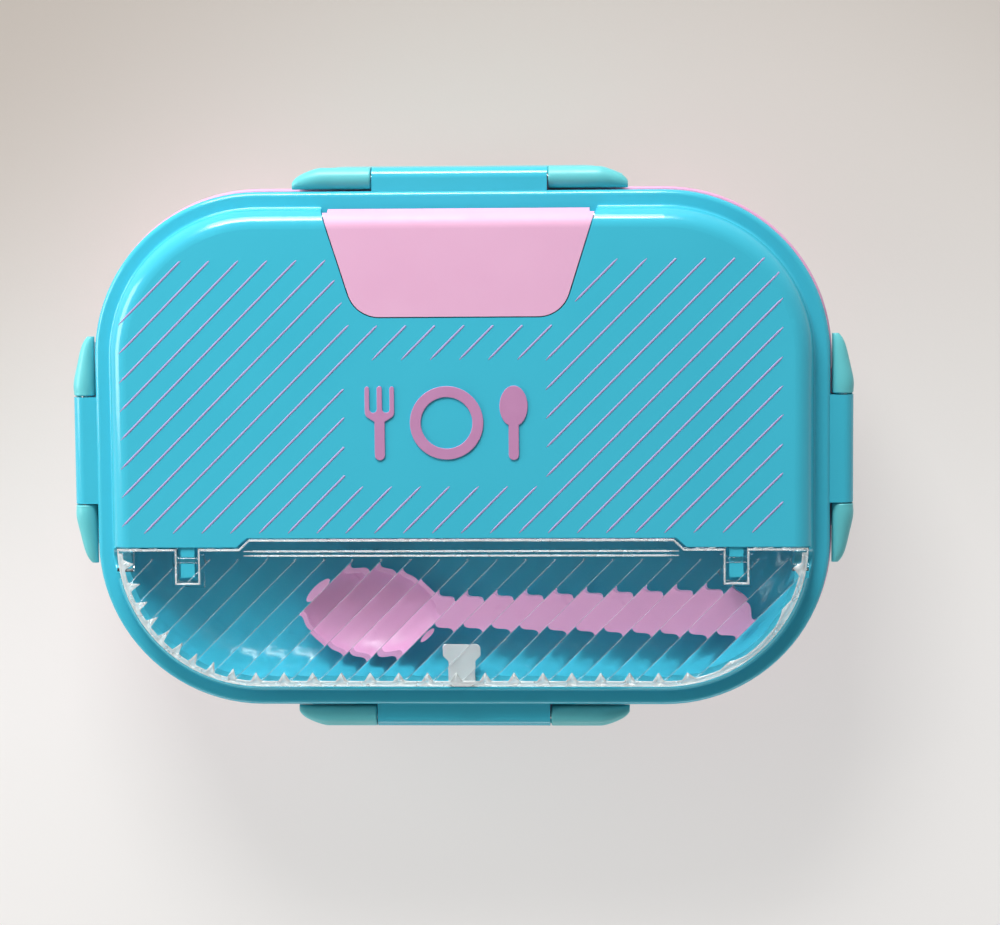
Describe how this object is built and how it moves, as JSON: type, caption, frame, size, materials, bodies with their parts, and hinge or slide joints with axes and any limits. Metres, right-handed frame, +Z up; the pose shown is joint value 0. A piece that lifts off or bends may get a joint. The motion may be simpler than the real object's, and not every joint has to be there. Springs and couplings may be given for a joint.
{
  "type": "bento lunch box",
  "caption": "Low rounded lunch box: tub, pocketed steel tray, crowned lid with side latches, hinged vent flap, and a clear hinged cover over a spoon bay.",
  "frame": {"origin": "centre of the foot ring's underside, which is the bottom centre of the bounding box", "axes": "+X along the long side, towards the spoon's handle end; +Y from the spoon bay towards the vent flap; +Z up out of the lid"},
  "size_m": [0.247, 0.1778, 0.058],
  "materials": {
    "tub_pink": "satin",
    "tray_steel": "brushed",
    "lid_cyan": "gloss",
    "gasket_silicone": "matte",
    "cover_clear": "clear gloss",
    "catch_milky": "frosted",
    "spoon_pink": "satin",
    "flap_pink": "matte",
    "plug_silicone": "matte",
    "latch_turquoise": "gloss",
    "pin_steel": "ground"
  },
  "bodies": {
    "tub": {"outer_tub": "tub_pink"},
    "tray": {"steel_tray": "tray_steel"},
    "lid": {"lid_shell": "lid_cyan", "lid_gasket": "gasket_silicone", "vent_flap_pin": "pin_steel", "latch_pin_front": "pin_steel", "latch_pin_rear": "pin_steel", "latch_pin_left": "pin_steel", "latch_pin_right": "pin_steel"},
    "cover": {"spoon_cover": "cover_clear", "cover_catch": "catch_milky"},
    "spoon": {"spoon": "spoon_pink"},
    "flap": {"vent_flap": "flap_pink", "vent_plug": "plug_silicone"},
    "front_latch": {"latch_front": "latch_turquoise"},
    "rear_latch": {"latch_rear": "latch_turquoise"},
    "left_latch": {"latch_left": "latch_turquoise"},
    "right_latch": {"latch_right": "latch_turquoise"}
  },
  "joints": [
    {"name": "tray_lift", "type": "slide", "parent": "tub", "child": "tray", "axis": [0, 0, 1], "range_m": [0, 0.06]},
    {"name": "lid_lift", "type": "slide", "parent": "tray", "child": "lid", "axis": [0, 0, 1], "range_m": [0, 0.066]},
    {"name": "cover_hinge", "type": "hinge", "parent": "lid", "child": "cover", "pos_m": [0, -0.034, 0.0567], "axis": [-1, 0, 0], "range_deg": [0, 110]},
    {"name": "spoon_slide", "type": "slide", "parent": "lid", "child": "spoon", "axis": [1, 0, 0], "range_m": [-0.04, 0]},
    {"name": "vent_flap_hinge", "type": "hinge", "parent": "lid", "child": "flap", "pos_m": [0, 0.0736, 0.0532], "axis": [-1, 0, 0], "range_deg": [0, 105]},
    {"name": "front_latch_hinge", "type": "hinge", "parent": "lid", "child": "front_latch", "pos_m": [0, -0.0855, 0.0458], "axis": [-1, 0, 0], "range_deg": [0, 135]},
    {"name": "rear_latch_hinge", "type": "hinge", "parent": "lid", "child": "rear_latch", "pos_m": [0, 0.0855, 0.0458], "axis": [1, 0, 0], "range_deg": [0, 135]},
    {"name": "left_latch_hinge", "type": "hinge", "parent": "lid", "child": "left_latch", "pos_m": [-0.12, 0, 0.0458], "axis": [0, 1, 0], "range_deg": [0, 135]},
    {"name": "right_latch_hinge", "type": "hinge", "parent": "lid", "child": "right_latch", "pos_m": [0.12, 0, 0.0458], "axis": [0, -1, 0], "range_deg": [0, 135]}
  ]
}
